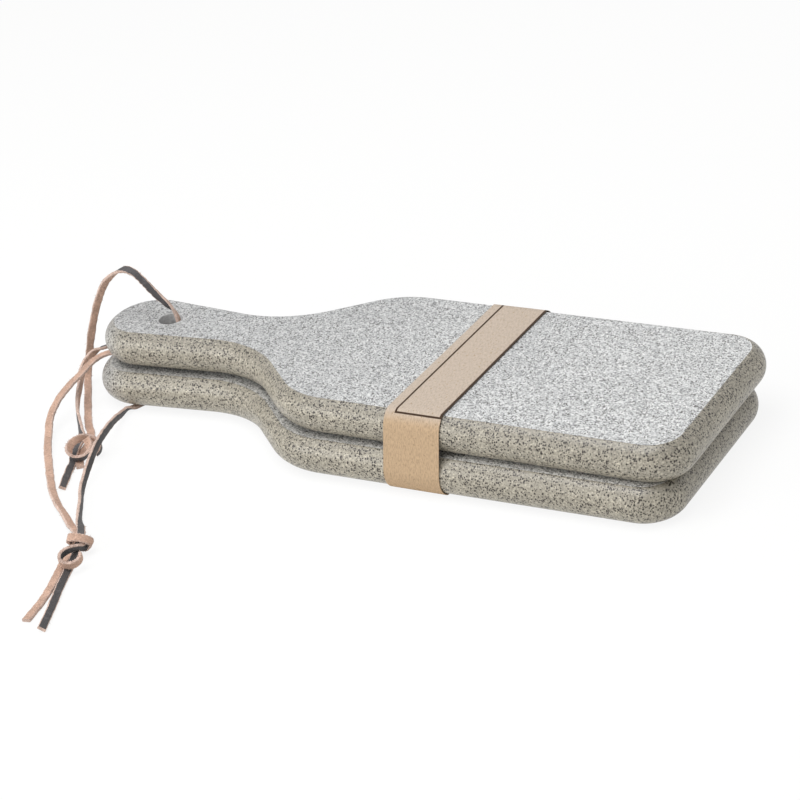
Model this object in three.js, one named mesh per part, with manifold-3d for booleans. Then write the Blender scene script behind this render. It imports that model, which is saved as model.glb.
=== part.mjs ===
// Two stone serving boards, stacked, held by a paper band and hung on knotted leather thongs.
// Millimetres, +Z up. The handles point to -X, and the boards lie on the plane Z = 0.

import * as THREE from 'three';
import { mergeVertices } from 'three/addons/utils/BufferGeometryUtils.js';
import loadManifold from 'manifold-3d';

// Board: one paddle, cut from a slab, with a bullnose all round
const BOARD_LENGTH = 276;
const BOARD_THICKNESS = 15;
const BLADE_WIDTH = 98;
const BLADE_CORNER = 16.5;
const SHOULDER_FROM_END = 114;
const SHOULDER_RADIUS = 35.5;
const NECK_WIDTH = 30;
const NECK_FROM_END = 77;
const NECK_RADIUS = 42;
const HANDLE_WIDTH = 44;
const HANDLE_END_FLAT = 1.28;
const EDGE_RADIUS = 8.25;
const HOLE_DIAMETER = 10;
const HOLE_FROM_END = 30;

// Stack: how far the upper board lies from the lower one
const STACK_SHIFT_X = 2.6;
const STACK_SHIFT_Y = 4;
// The paper under the lower blade carries it, so the blade's end stays just clear of the table
const BLADE_LIFT = 0.25;

// Thong: a flat strip of leather
const THONG_WIDTH = 3.2;
const THONG_THICKNESS = 1.3;
const THONG_EDGE = 0.3;
const STEPS_PER_SPAN = 2;
const SEAT = 0.15;

// Band: a strip of paper round both blades
const BAND_WIDTH = 23.5;
const BAND_FROM_END = 172;
const PAPER_THICKNESS = 0.35;
const BAND_CLEARANCE = 0.3;

// Facets
const ARC_STEP = Math.PI / 20;
const EDGE_STEPS = 12;
const HOLE_SIDES = 32;

const STONE = { color: 0xb9b8b2, roughness: 0.55, metalness: 0 };
const PAPER = { color: 0xcdb391, roughness: 0.85, metalness: 0 };
const LEATHER = { color: 0x8a6a5a, roughness: 0.8, metalness: 0 };

const wasm = await loadManifold();
wasm.setup();

const assembly = new THREE.Group();

// Booleans on three.js geometries

function toManifold(geometry) {
  const bare = geometry.clone();
  bare.deleteAttribute('normal');
  bare.deleteAttribute('uv');
  const merged = mergeVertices(bare, 1e-4);
  const mesh = new wasm.Mesh({
    numProp: 3,
    vertProperties: new Float32Array(merged.attributes.position.array),
    triVerts: new Uint32Array(merged.index.array),
  });
  return new wasm.Manifold(mesh);
}

function toGeometry(solid) {
  const mesh = solid.getMesh();
  const geometry = new THREE.BufferGeometry();
  geometry.setAttribute('position', new THREE.BufferAttribute(new Float32Array(mesh.vertProperties), 3));
  geometry.setIndex(new THREE.BufferAttribute(new Uint32Array(mesh.triVerts), 1));
  geometry.computeVertexNormals();
  return geometry;
}

function addNode(parent, name, geometry, finish) {
  const mesh = new THREE.Mesh(geometry, new THREE.MeshStandardMaterial(finish));
  mesh.name = name;
  parent.add(mesh);
  return mesh;
}

// Where the two boards lie. Each is propped at the handle by a thong. The lower blade rests on the
// paper round it, and the upper blade's end rests on the lower one.

const creaseInset = EDGE_RADIUS - Math.sqrt(EDGE_RADIUS ** 2 - (BOARD_THICKNESS / 2) ** 2);
const endReach = BOARD_LENGTH / 2 - creaseInset;
const thongLift = THONG_THICKNESS + 2 * SEAT;
const holeAlong = HOLE_FROM_END - BOARD_LENGTH / 2;

const lower = { x: -STACK_SHIFT_X / 2, y: -STACK_SHIFT_Y / 2 };
lower.slope = (thongLift - BLADE_LIFT) / (endReach - holeAlong);
lower.z = BLADE_LIFT + endReach * Math.sin(Math.atan(lower.slope));

const upper = { x: STACK_SHIFT_X / 2, y: STACK_SHIFT_Y / 2 };
upper.slope = lower.slope + (thongLift - SEAT) / (endReach - holeAlong);

function planeHeight(board, level, x) {
  const tilt = Math.atan(board.slope);
  return board.z - board.slope * (x - board.x) + level / Math.cos(tilt);
}

const meetX = lower.x + endReach;
upper.z = planeHeight(lower, BOARD_THICKNESS, meetX) + SEAT + upper.slope * (meetX - upper.x);

function gapMiddle(x) {
  return (planeHeight(lower, BOARD_THICKNESS, x) + planeHeight(upper, 0, x)) / 2;
}

// Board outline: a paddle with its corners given once, mirrored, and rounded by arcs. Each point keeps
// its outward direction, so that the outline can be drawn again further in.

function roundedOutline(corners) {
  const points = [];
  corners.forEach((corner, index) => {
    const before = corners[(index + corners.length - 1) % corners.length].at;
    const after = corners[(index + 1) % corners.length].at;
    const toBefore = before.clone().sub(corner.at).normalize();
    const toAfter = after.clone().sub(corner.at).normalize();
    const halfAngle = Math.acos(toBefore.dot(toAfter)) / 2;
    const toCentre = toBefore.clone().add(toAfter).normalize();
    const centre = corner.at.clone().addScaledVector(toCentre, corner.radius / Math.sin(halfAngle));
    const tangentLength = corner.radius / Math.tan(halfAngle);
    const start = corner.at.clone().addScaledVector(toBefore, tangentLength).sub(centre);
    const turn = Math.PI - 2 * halfAngle;
    const side = Math.sign(toAfter.cross(toBefore));
    const steps = Math.max(4, Math.round(turn / ARC_STEP));
    for (let step = 0; step <= steps; step += 1) {
      const angle = start.angle() + (side * turn * step) / steps;
      const reach = new THREE.Vector2(Math.cos(angle), Math.sin(angle));
      const at = centre.clone().addScaledVector(reach, corner.radius);
      points.push({ at, outward: reach.multiplyScalar(side) });
    }
  });
  return points;
}

function paddleOutline() {
  const end = -BOARD_LENGTH / 2;
  // the two corners of the handle take up its end, apart from a short flat between them
  const handleTaper = Math.atan((HANDLE_WIDTH - NECK_WIDTH) / 2 / NECK_FROM_END);
  const handleCorner = ((HANDLE_WIDTH - HANDLE_END_FLAT) / 2) * Math.tan(Math.PI / 4 - handleTaper / 2);
  const side = [
    { at: new THREE.Vector2(end, -HANDLE_WIDTH / 2), radius: handleCorner },
    { at: new THREE.Vector2(end + NECK_FROM_END, -NECK_WIDTH / 2), radius: NECK_RADIUS },
    { at: new THREE.Vector2(end + SHOULDER_FROM_END, -BLADE_WIDTH / 2), radius: SHOULDER_RADIUS },
    { at: new THREE.Vector2(-end, -BLADE_WIDTH / 2), radius: BLADE_CORNER },
  ];
  const mirrored = side.map(({ at, radius }) => ({ at: new THREE.Vector2(at.x, -at.y), radius }));
  return roundedOutline([...side, ...mirrored.reverse()]);
}

// Board solid: the outline stepped round the bullnose, from one flat face to the other, then drilled.
// The bullnose stops short of a half round, which leaves the crisp line at the edge of each face.

function boardBlank() {
  const outline = paddleOutline();
  const crest = Math.asin(BOARD_THICKNESS / 2 / EDGE_RADIUS);
  const positions = [];
  const triangles = [];
  for (let row = 0; row <= EDGE_STEPS; row += 1) {
    const angle = crest * ((2 * row) / EDGE_STEPS - 1);
    const inset = EDGE_RADIUS * (1 - Math.cos(angle));
    outline.forEach(({ at, outward }) => {
      const point = at.clone().addScaledVector(outward, -inset);
      positions.push(point.x, point.y, BOARD_THICKNESS / 2 + EDGE_RADIUS * Math.sin(angle));
    });
  }
  const count = outline.length;
  for (let row = 0; row < EDGE_STEPS; row += 1) {
    for (let step = 0; step < count; step += 1) {
      const here = row * count + step;
      const next = row * count + ((step + 1) % count);
      triangles.push(here, next, next + count, here, next + count, here + count);
    }
  }
  const last = EDGE_STEPS * count;
  const face = outline.map((_, step) => new THREE.Vector2(...positions.slice(3 * step, 3 * step + 2)));
  THREE.ShapeUtils.triangulateShape(face, []).forEach(([a, b, c]) => {
    triangles.push(last + a, last + b, last + c, a, c, b);
  });
  const blank = new THREE.BufferGeometry();
  blank.setAttribute('position', new THREE.Float32BufferAttribute(positions, 3));
  blank.setIndex(triangles);
  return blank;
}

function boardGeometry() {
  const room = 3 * BOARD_THICKNESS;
  const drill = new THREE.CylinderGeometry(HOLE_DIAMETER / 2, HOLE_DIAMETER / 2, room, HOLE_SIDES);
  drill.rotateX(Math.PI / 2);
  drill.translate(holeAlong, 0, BOARD_THICKNESS / 2);
  return toGeometry(toManifold(boardBlank()).subtract(toManifold(drill)));
}

function placeBoard(name, board) {
  const group = new THREE.Group();
  group.position.set(board.x, board.y, board.z);
  group.rotation.y = Math.atan(board.slope);
  addNode(group, name, boardGeometry(), STONE);
  assembly.add(group);
}

// Band: the taut outline round both bullnoses, with the blades' own edge radius

function bandOutline(path, offset, frontLow, backLow, frontHigh, backHigh) {
  const radius = EDGE_RADIUS + offset;
  const crest = Math.asin((BOARD_THICKNESS / 2 + offset) / radius);
  const back = backHigh.clone().sub(backLow);
  const front = frontHigh.clone().sub(frontLow);
  const backAngle = Math.atan2(-back.x, back.y);
  const frontAngle = Math.PI - Math.atan2(front.x, front.y);
  path.absarc(backLow.x, backLow.y, radius, -crest, backAngle, false);
  path.absarc(backHigh.x, backHigh.y, radius, backAngle, crest, false);
  path.absarc(frontHigh.x, frontHigh.y, radius, Math.PI - crest, frontAngle, false);
  path.absarc(frontLow.x, frontLow.y, radius, frontAngle, Math.PI + crest, false);
  path.closePath();
  return path;
}

function bandGeometry(bandX, slope) {
  const reach = BLADE_WIDTH / 2 - EDGE_RADIUS;
  const lowMiddle = planeHeight(lower, BOARD_THICKNESS / 2, bandX);
  const highMiddle = planeHeight(upper, BOARD_THICKNESS / 2, bandX);
  const corners = [
    new THREE.Vector2(lower.y - reach, lowMiddle),
    new THREE.Vector2(lower.y + reach, lowMiddle),
    new THREE.Vector2(upper.y - reach, highMiddle),
    new THREE.Vector2(upper.y + reach, highMiddle),
  ];
  const shape = bandOutline(new THREE.Shape(), BAND_CLEARANCE + PAPER_THICKNESS, ...corners);
  shape.holes.push(bandOutline(new THREE.Path(), BAND_CLEARANCE, ...corners));
  const geometry = new THREE.ExtrudeGeometry(shape, {
    depth: BAND_WIDTH,
    bevelEnabled: false,
    curveSegments: 8,
  });
  geometry.translate(0, 0, -BAND_WIDTH / 2);
  // the shape's plane becomes YZ, and its depth runs along X
  geometry.applyMatrix4(new THREE.Matrix4().set(0, 0, 1, 0, 1, 0, 0, 0, 0, 1, 0, 0, 0, 0, 0, 1));
  const middle = (lowMiddle + highMiddle) / 2;
  geometry.translate(0, 0, -middle);
  geometry.rotateY(Math.atan(slope));
  geometry.translate(bandX, 0, middle);
  return geometry;
}

// Thong: a strap swept along hand-chosen points, each with the way its grain side faces.
// The points stand closer at the bends, and every span gets the same number of steps.

class StrapCurve extends THREE.CatmullRomCurve3 {
  constructor(stations) {
    super(stations.map(({ at }) => new THREE.Vector3(...at)), false, 'centripetal');
    this.grains = stations.map(({ grain }) => new THREE.Vector3(...grain).normalize());
  }

  getSpacedPoints(divisions) {
    return this.getPoints(divisions);
  }

  grainAt(t) {
    const place = t * (this.grains.length - 1);
    const index = Math.min(Math.floor(place), this.grains.length - 2);
    return this.grains[index].clone().lerp(this.grains[index + 1], place - index);
  }

  computeFrenetFrames(segments) {
    const frames = { tangents: [], normals: [], binormals: [] };
    for (let step = 0; step <= segments; step += 1) {
      const tangent = this.getTangent(step / segments);
      const grain = this.grainAt(step / segments);
      grain.addScaledVector(tangent, -grain.dot(tangent)).normalize();
      frames.tangents.push(tangent);
      frames.binormals.push(grain);
      frames.normals.push(grain.clone().cross(tangent));
    }
    return frames;
  }
}

function strapSection() {
  const halfWidth = THONG_WIDTH / 2;
  const halfThick = THONG_THICKNESS / 2;
  const section = new THREE.Shape();
  section.moveTo(-halfWidth + THONG_EDGE, -halfThick);
  section.lineTo(halfWidth - THONG_EDGE, -halfThick);
  section.lineTo(halfWidth, -halfThick + THONG_EDGE);
  section.lineTo(halfWidth, halfThick - THONG_EDGE);
  section.lineTo(halfWidth - THONG_EDGE, halfThick);
  section.lineTo(-halfWidth + THONG_EDGE, halfThick);
  section.lineTo(-halfWidth, halfThick - THONG_EDGE);
  section.lineTo(-halfWidth, -halfThick + THONG_EDGE);
  section.closePath();
  return section;
}

function addStrap(name, curve, steps) {
  const options = { steps, extrudePath: curve, bevelEnabled: false };
  addNode(assembly, name, new THREE.ExtrudeGeometry(strapSection(), options), LEATHER);
}

function addThong(name, stations) {
  const curve = new StrapCurve(stations);
  addStrap(name, curve, STEPS_PER_SPAN * (stations.length - 1));
  console.log(`${name}: ${curve.getLength().toFixed(1)} mm long`);
}

// Knot: the strap wound round the two ends that pass through it. The turns pass over from the way
// they lie at the first one to the way they lie at the last one.

function turnBetween(first, last, blend) {
  const mix = (key) => THREE.MathUtils.lerp(first[key], last[key], blend);
  return {
    centre: new THREE.Vector3(...first.centre).lerp(new THREE.Vector3(...last.centre), blend),
    axis: new THREE.Vector3(...first.axis).lerp(new THREE.Vector3(...last.axis), blend).normalize(),
    across: mix('across'),
    high: mix('high'),
    lean: mix('lean'),
  };
}

function addKnot(name, { first, last, passing, sideways, from, to, grainSide, steps }) {
  const stations = [];
  for (let step = 0; step <= steps; step += 1) {
    const part = step / steps;
    const turn = turnBetween(first, last, THREE.MathUtils.smoothstep(part, ...passing));
    const angle = THREE.MathUtils.degToRad(THREE.MathUtils.lerp(from, to, part));
    const side = new THREE.Vector3(...sideways);
    side.addScaledVector(turn.axis, -side.dot(turn.axis)).normalize();
    const over = turn.axis.clone().cross(side);
    const at = turn.centre.clone().addScaledVector(side, turn.across * Math.cos(angle));
    at.addScaledVector(over, turn.high * Math.sin(angle));
    const outward = side.clone().multiplyScalar(Math.cos(angle) / turn.across);
    outward.addScaledVector(over, Math.sin(angle) / turn.high).normalize();
    outward.addScaledVector(turn.axis, -Math.tan(THREE.MathUtils.degToRad(turn.lean)));
    stations.push({ at: at.toArray(), grain: outward.multiplyScalar(grainSide).toArray() });
  }
  const curve = new StrapCurve(stations);
  addStrap(name, curve, steps);
  printSelfGap(name, curve, steps, (360 * steps) / (to - from));
}

function printSelfGap(name, curve, steps, stepsPerTurn) {
  const frames = curve.computeFrenetFrames(steps);
  const rings = curve.getSpacedPoints(steps).map((point, step) => {
    const ring = [];
    for (let across = -2; across <= 2; across += 1) {
      const edge = point.clone().addScaledVector(frames.normals[step], (across * THONG_WIDTH) / 4);
      ring.push(edge.clone().addScaledVector(frames.binormals[step], THONG_THICKNESS / 2));
      ring.push(edge.clone().addScaledVector(frames.binormals[step], -THONG_THICKNESS / 2));
    }
    return ring;
  });
  let least = Infinity;
  rings.forEach((ring, step) => {
    rings.slice(step + Math.ceil(0.6 * stepsPerTurn)).forEach((other) => {
      ring.forEach((a) => other.forEach((b) => { least = Math.min(least, a.distanceTo(b)); }));
    });
  });
  console.log(`${name}: least gap to itself ${least.toFixed(2)} mm`);
}

// The ways a grain side can face
const UP = [0, 0, 1];
const DOWN = [0, 0, -1];
const TO_HANDLE = [-1, 0, 0];

// Heights of a strap lying flat or standing on its edge on the surface below
const FLAT = THONG_THICKNESS / 2 + SEAT;
const ON_EDGE = THONG_WIDTH / 2 + SEAT;

// Upper thong. One end rises from the hole, arches over the handle's end and lies down to the knot.
// The other end drops through the hole and comes out between the boards.

function addUpperThong() {
  addThong('upper_thong_arch', [
    { at: [-103.2, 2.6, 26.0], grain: [-0.95, -0.3, 0] },
    { at: [-103.2, 2.6, 33.0], grain: [-0.95, -0.3, 0] },
    { at: [-104.4, 2.4, 37.0], grain: [-0.8, -0.6, 0] },
    { at: [-106.6, 2.1, 39.6], grain: [-0.4, -0.9, 0.1] },
    { at: [-111.5, 1.6, 44.5], grain: [0.1, -0.95, 0.3] },
    { at: [-115.7, 1.3, 49.2], grain: [0.3, -0.8, 0.5] },
    { at: [-119.2, 1.1, 52.7], grain: [0.3, -0.7, 0.65] },
    { at: [-123.0, 0.8, 54.4], grain: [0.1, -0.55, 0.85] },
    { at: [-126.8, 0.5, 53.7], grain: [-0.3, 0, 0.95] },
    { at: [-131.3, 0.1, 51.0], grain: [-0.55, 0.4, 0.7] },
    { at: [-135.2, -0.2, 47.4], grain: [-0.65, 0.6, 0.45] },
    { at: [-139.9, -0.5, 39.9], grain: [-0.65, 0.7, 0.3] },
    { at: [-145.6, -1.0, 27.4], grain: [-0.65, 0.75, 0.15] },
    { at: [-150.3, -1.3, 14.2], grain: [-0.6, 0.8, 0.1] },
    { at: [-152.6, -1.6, 6.4], grain: [-0.58, 0.82, 0] },
    { at: [-152.3, -3.6, 2.6], grain: [-0.45, 0.6, -0.65] },
    { at: [-149.6, -7.8, FLAT + 0.2], grain: DOWN },
    { at: [-136.8, -25.7, FLAT], grain: DOWN },
    { at: [-129.1, -36.1, FLAT], grain: DOWN },
    { at: [-122.9, -42.9, 1.2], grain: DOWN },
    { at: [-118.0, -48.2, 1.4], grain: DOWN },
    { at: [-114.2, -54.6, 1.4], grain: DOWN },
    { at: [-112.0, -62.2, 1.1], grain: DOWN },
    { at: [-110.4, -67.9, FLAT], grain: DOWN },
  ]);
  addThong('upper_thong_return', [
    { at: [-103.2, 2.6, 25.7], grain: [-0.95, -0.3, 0] },
    { at: [-103.2, 2.6, 21.6], grain: [-0.95, -0.2, 0] },
    { at: [-103.9, 2.6, 19.3], grain: [-0.8, -0.1, 0.55] },
    { at: [-106.4, 2.5, gapMiddle(-106.4) + 0.1], grain: [-0.1, 0, 1] },
    { at: [-112.0, 2.4, gapMiddle(-112)], grain: UP },
    { at: [-124.0, 2.0, gapMiddle(-124)], grain: UP },
    { at: [-134.0, 1.6, gapMiddle(-134)], grain: UP },
    { at: [-139.1, 0.4, 17.7], grain: [-0.1, 0.1, 1] },
    { at: [-142.2, -2.2, 17.5], grain: [-0.35, 0.4, 0.85] },
    { at: [-144.6, -5.6, 16.6], grain: [-0.5, 0.55, 0.65] },
    { at: [-146.4, -9.3, 14.0], grain: [-0.6, 0.6, 0.55] },
    { at: [-146.5, -13.4, 10.9], grain: [-0.65, 0.55, 0.5] },
    { at: [-143.7, -19.3, 8.5], grain: [-0.7, 0.3, 0.6] },
    { at: [-140.4, -26.0, 6.5], grain: [-0.75, 0, 0.6] },
    { at: [-135.9, -33.2, 4.6], grain: [-0.75, -0.3, 0.6] },
    { at: [-129.7, -40.6, 3.2], grain: [-0.7, -0.35, 0.65] },
    { at: [-125.2, -46.0, 2.8], grain: [-0.6, -0.3, 0.75] },
    { at: [-122.0, -50.0, 2.6], grain: [-0.4, -0.2, 0.9] },
    { at: [-118.8, -55.6, 2.1], grain: [-0.1, 0, 1] },
    { at: [-116.8, -61.4, 1.5], grain: UP },
    { at: [-115.2, -66.4, 1.1], grain: UP },
    { at: [-113.3, -71.0, FLAT], grain: UP },
    { at: [-107.0, -84.7, FLAT], grain: UP },
  ]);
  addKnot('upper_thong_knot', {
    first: { centre: [-112.4, -57.2, 3.9], axis: [0.33, -0.52, 0.79], across: 4, high: 4, lean: 0 },
    last: { centre: [-113.8, -62.6, 6.6], axis: [0.42, -0.66, 0.62], across: 4.1, high: 4.1, lean: 50 },
    passing: [0.15, 0.6],
    sideways: [0.84, 0.54, 0],
    from: -60,
    to: 400,
    grainSide: 1,
    steps: 34,
  });
}

// Lower thong. One end comes up through the hole and out between the boards, the other goes down
// through it and out from under the lower board.

function addLowerThong() {
  addThong('lower_thong_top_run', [
    { at: [-111.0, -2.6, 9.4], grain: TO_HANDLE },
    { at: [-111.1, -2.6, 14.2], grain: TO_HANDLE },
    { at: [-111.9, -2.6, 16.7], grain: [-0.8, 0, -0.6] },
    { at: [-114.2, -2.6, gapMiddle(-114.2)], grain: DOWN },
    { at: [-118.0, -2.7, gapMiddle(-118)], grain: DOWN },
    { at: [-127.0, -3.0, gapMiddle(-127)], grain: DOWN },
    { at: [-132.6, -4.1, gapMiddle(-132.6)], grain: DOWN },
    { at: [-136.6, -5.9, 17.6], grain: DOWN },
    { at: [-139.2, -9.9, 17.1], grain: DOWN },
    { at: [-140.1, -15.1, 16.4], grain: [0, 0.1, -1] },
    { at: [-140.2, -21.0, 15.2], grain: [0.1, 0.2, -1] },
    { at: [-141.4, -28.6, 13.3], grain: [0, 0.3, -0.9] },
    { at: [-142.7, -36.0, 10.0], grain: [0, 0.4, -0.9] },
    { at: [-141.5, -43.9, 6.6], grain: [0, 0.4, -0.9] },
    { at: [-137.8, -51.2, 4.0], grain: [-0.1, 0.3, -0.9] },
    { at: [-131.4, -61.0, 2.0], grain: DOWN },
    { at: [-121.9, -73.3, FLAT], grain: DOWN },
    { at: [-110.8, -86.4, FLAT], grain: DOWN },
    { at: [-101.0, -96.0, FLAT], grain: DOWN },
    { at: [-92.9, -102.3, FLAT], grain: DOWN },
    { at: [-85.8, -108.3, 1.4], grain: DOWN },
    { at: [-78.1, -114.2, 3.6], grain: DOWN },
    { at: [-74.8, -117.9, 5.0], grain: [-0.1, 0.2, -1] },
    { at: [-73.0, -121.1, 3.8], grain: [-0.3, 0.45, -0.85] },
    { at: [-73.2, -124.6, 1.5], grain: [-0.2, 0.4, -0.9] },
    { at: [-73.3, -128.8, FLAT], grain: DOWN },
    { at: [-71.6, -134.4, FLAT], grain: DOWN },
    { at: [-67.9, -144.3, FLAT], grain: DOWN },
    { at: [-64.7, -155.1, FLAT], grain: DOWN },
    { at: [-62.4, -168.0, FLAT], grain: DOWN },
  ]);
  addThong('lower_thong_under_run', [
    { at: [-111.0, -2.6, 9.1], grain: TO_HANDLE },
    { at: [-110.7, -2.9, 5.4], grain: [-0.8, -0.6, 0] },
    { at: [-110.8, -3.5, 2.8], grain: [-0.5, -0.85, 0.2] },
    { at: [-111.6, -4.9, 1.15], grain: [-0.3, -0.5, 0.8] },
    { at: [-113.0, -7.4, FLAT], grain: UP },
    { at: [-116.2, -12.9, FLAT], grain: UP },
    { at: [-118.1, -17.6, FLAT], grain: UP },
  ]);
  addThong('lower_thong_front_run', [
    { at: [-118.22, -17.9, FLAT], grain: UP },
    { at: [-119.0, -20.0, 1.05], grain: [0.2, -0.1, 1] },
    { at: [-118.9, -23.6, 1.8], grain: [0.7, 0, 0.75] },
    { at: [-117.9, -27.5, 2.6], grain: [0.95, 0, 0.3] },
    { at: [-115.1, -35.8, 4.8], grain: [0.95, 0.2, 0.2] },
    { at: [-110.0, -47.8, 7.6], grain: [0.9, 0.3, 0.2] },
    { at: [-105.3, -58.7, 9.4], grain: [0.95, 0.2, 0.2] },
    { at: [-102.2, -68.0, 8.6], grain: [0.95, 0.1, 0.2] },
    { at: [-99.8, -77.5, 5.0], grain: [0.95, 0.2, 0.2] },
    { at: [-96.9, -85.4, 2.3], grain: [0.9, 0.4, 0.2] },
    { at: [-91.9, -93.2, ON_EDGE], grain: [0.85, 0.5, 0.1] },
    { at: [-86.6, -101.4, 2.1], grain: [0.8, 0.5, 0.2] },
    { at: [-82.2, -107.0, 3.4], grain: [0.7, 0.45, 0.5] },
    { at: [-77.4, -112.4, 5.4], grain: [0.5, 0.3, 0.8] },
    { at: [-72.9, -117.4, 7.3], grain: [0.2, -0.1, 0.95] },
    { at: [-71.0, -121.0, 5.6], grain: [0.3, -0.5, 0.8] },
    { at: [-71.0, -124.2, 3.3], grain: [0.2, -0.5, 0.85] },
    { at: [-69.5, -128.4, 1.7], grain: [0.1, -0.2, 1] },
    { at: [-67.6, -134.6, FLAT], grain: UP },
    { at: [-64.0, -144.4, FLAT], grain: UP },
    { at: [-58.6, -156.8, FLAT], grain: UP },
    { at: [-52.6, -171.7, FLAT], grain: UP },
  ]);
  addKnot('lower_thong_knot', {
    first: { centre: [-71.5, -120.9, 4.6], axis: [-0.35, 0.65, 0.67], across: 5, high: 3.8, lean: 0 },
    last: { centre: [-67.6, -132.5, 4.9], axis: [0.15, -0.23, 0.96], across: 3.9, high: 3.9, lean: 0 },
    passing: [0.28, 0.57],
    sideways: [0.84, 0.54, 0],
    from: 110,
    to: 730,
    grainSide: -1,
    steps: 41,
  });
}

placeBoard('lower_board', lower);
placeBoard('upper_board', upper);
const bandX = lower.x - BOARD_LENGTH / 2 + BAND_FROM_END;
addNode(assembly, 'paper_band', bandGeometry(bandX, (lower.slope + upper.slope) / 2), PAPER);
addUpperThong();
addLowerThong();

export default assembly;
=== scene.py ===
"""Two speckled stone serving boards, stacked, in a paper band, with a leather thong on each handle."""

import math
import random
from functools import partial

import bpy
from mathutils import Matrix, Vector


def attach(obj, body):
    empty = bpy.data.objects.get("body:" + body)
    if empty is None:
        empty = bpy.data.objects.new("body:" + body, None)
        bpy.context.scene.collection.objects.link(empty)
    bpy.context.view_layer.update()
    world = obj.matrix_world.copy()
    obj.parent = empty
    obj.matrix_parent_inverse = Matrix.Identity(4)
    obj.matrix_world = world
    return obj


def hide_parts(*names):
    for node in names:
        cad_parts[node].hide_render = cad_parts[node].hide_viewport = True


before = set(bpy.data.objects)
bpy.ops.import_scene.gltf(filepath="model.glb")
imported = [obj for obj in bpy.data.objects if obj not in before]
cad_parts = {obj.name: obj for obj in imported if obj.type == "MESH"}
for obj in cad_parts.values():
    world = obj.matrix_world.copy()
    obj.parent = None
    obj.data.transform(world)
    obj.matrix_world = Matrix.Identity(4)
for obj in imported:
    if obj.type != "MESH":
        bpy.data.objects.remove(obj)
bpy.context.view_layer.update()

bl_info = {
    "name": "Stone serving board set",
    "version": (1, 0, 0),
    "blender": (4, 5, 0),
    "location": "View3D > Sidebar > Boards",
    "description": "Models a banded pair of stone paddle boards with knotted leather thongs",
    "category": "Add Mesh",
}

MM = 0.001
UPPER = "upper_board_and_thong"
LOWER = "lower_board_and_thong"
BAND = "band"

# Where each board lies: the middle of its underside in millimetres, and its fall towards the blade
BOARD_PLACES = {
    "upper_board": ((1.3, 2.0, 16.916), 0.011609),
    "lower_board": ((-1.3, -2.0, 0.9955), 0.0055973),
}

# Camera: where it stands and which way it looks, in the part's frame
CAMERA_PLACE = (0.44902, -0.69825, 0.43445)
CAMERA_RIGHT = (0.8686, 0.47675, -0.13508)
CAMERA_UP = (-0.11579, 0.46034, 0.88016)
CAMERA_FORWARD = (-0.4818, 0.74886, -0.45505)
CAMERA_LENS = 106.47
SENSOR_WIDTH = 36.0

# Lights: name, place, size and share of the key light's power
LIGHTS = (
    ("Key light", (-0.1, -0.25, 1.1), 0.9, 1.0),
    ("Front light", (-0.75, -0.9, 0.5), 0.7, 0.42),
)
FLOOR_SIZE = 8
FLOOR_GLOW = 0.88

UP = (0, 0, 1)
DOWN = (0, 0, -1)

# Thong routes: points in millimetres, each with the way the grain side of the strap faces
UPPER_THONG_ARCH = (
    ((-103.2, 2.6, 26), (-0.95, -0.3, 0)),
    ((-103.2, 2.6, 33), (-0.95, -0.3, 0)),
    ((-104.4, 2.4, 37), (-0.8, -0.6, 0)),
    ((-106.6, 2.1, 39.6), (-0.4, -0.9, 0.1)),
    ((-111.5, 1.6, 44.5), (0.1, -0.95, 0.3)),
    ((-115.7, 1.3, 49.2), (0.3, -0.8, 0.5)),
    ((-119.2, 1.1, 52.7), (0.3, -0.7, 0.65)),
    ((-123, 0.8, 54.4), (0.1, -0.55, 0.85)),
    ((-126.8, 0.5, 53.7), (-0.3, 0, 0.95)),
    ((-131.3, 0.1, 51), (-0.55, 0.4, 0.7)),
    ((-135.2, -0.2, 47.4), (-0.65, 0.6, 0.45)),
    ((-139.9, -0.5, 39.9), (-0.65, 0.7, 0.3)),
    ((-145.6, -1, 27.4), (-0.65, 0.75, 0.15)),
    ((-150.3, -1.3, 14.2), (-0.6, 0.8, 0.1)),
    ((-152.6, -1.6, 6.4), (-0.58, 0.82, 0)),
    ((-152.3, -3.6, 2.6), (-0.45, 0.6, -0.65)),
    ((-149.6, -7.8, 1), DOWN),
    ((-136.8, -25.7, 0.8), DOWN),
    ((-129.1, -36.1, 0.8), DOWN),
    ((-122.9, -42.9, 1.2), DOWN),
    ((-118.9, -48.7, 1.2), DOWN),
    ((-117.2, -56.4, 0.8), DOWN),
    ((-113.9, -63.2, 0.8), DOWN),
    ((-110.4, -67.9, 0.8), DOWN),
)
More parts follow.
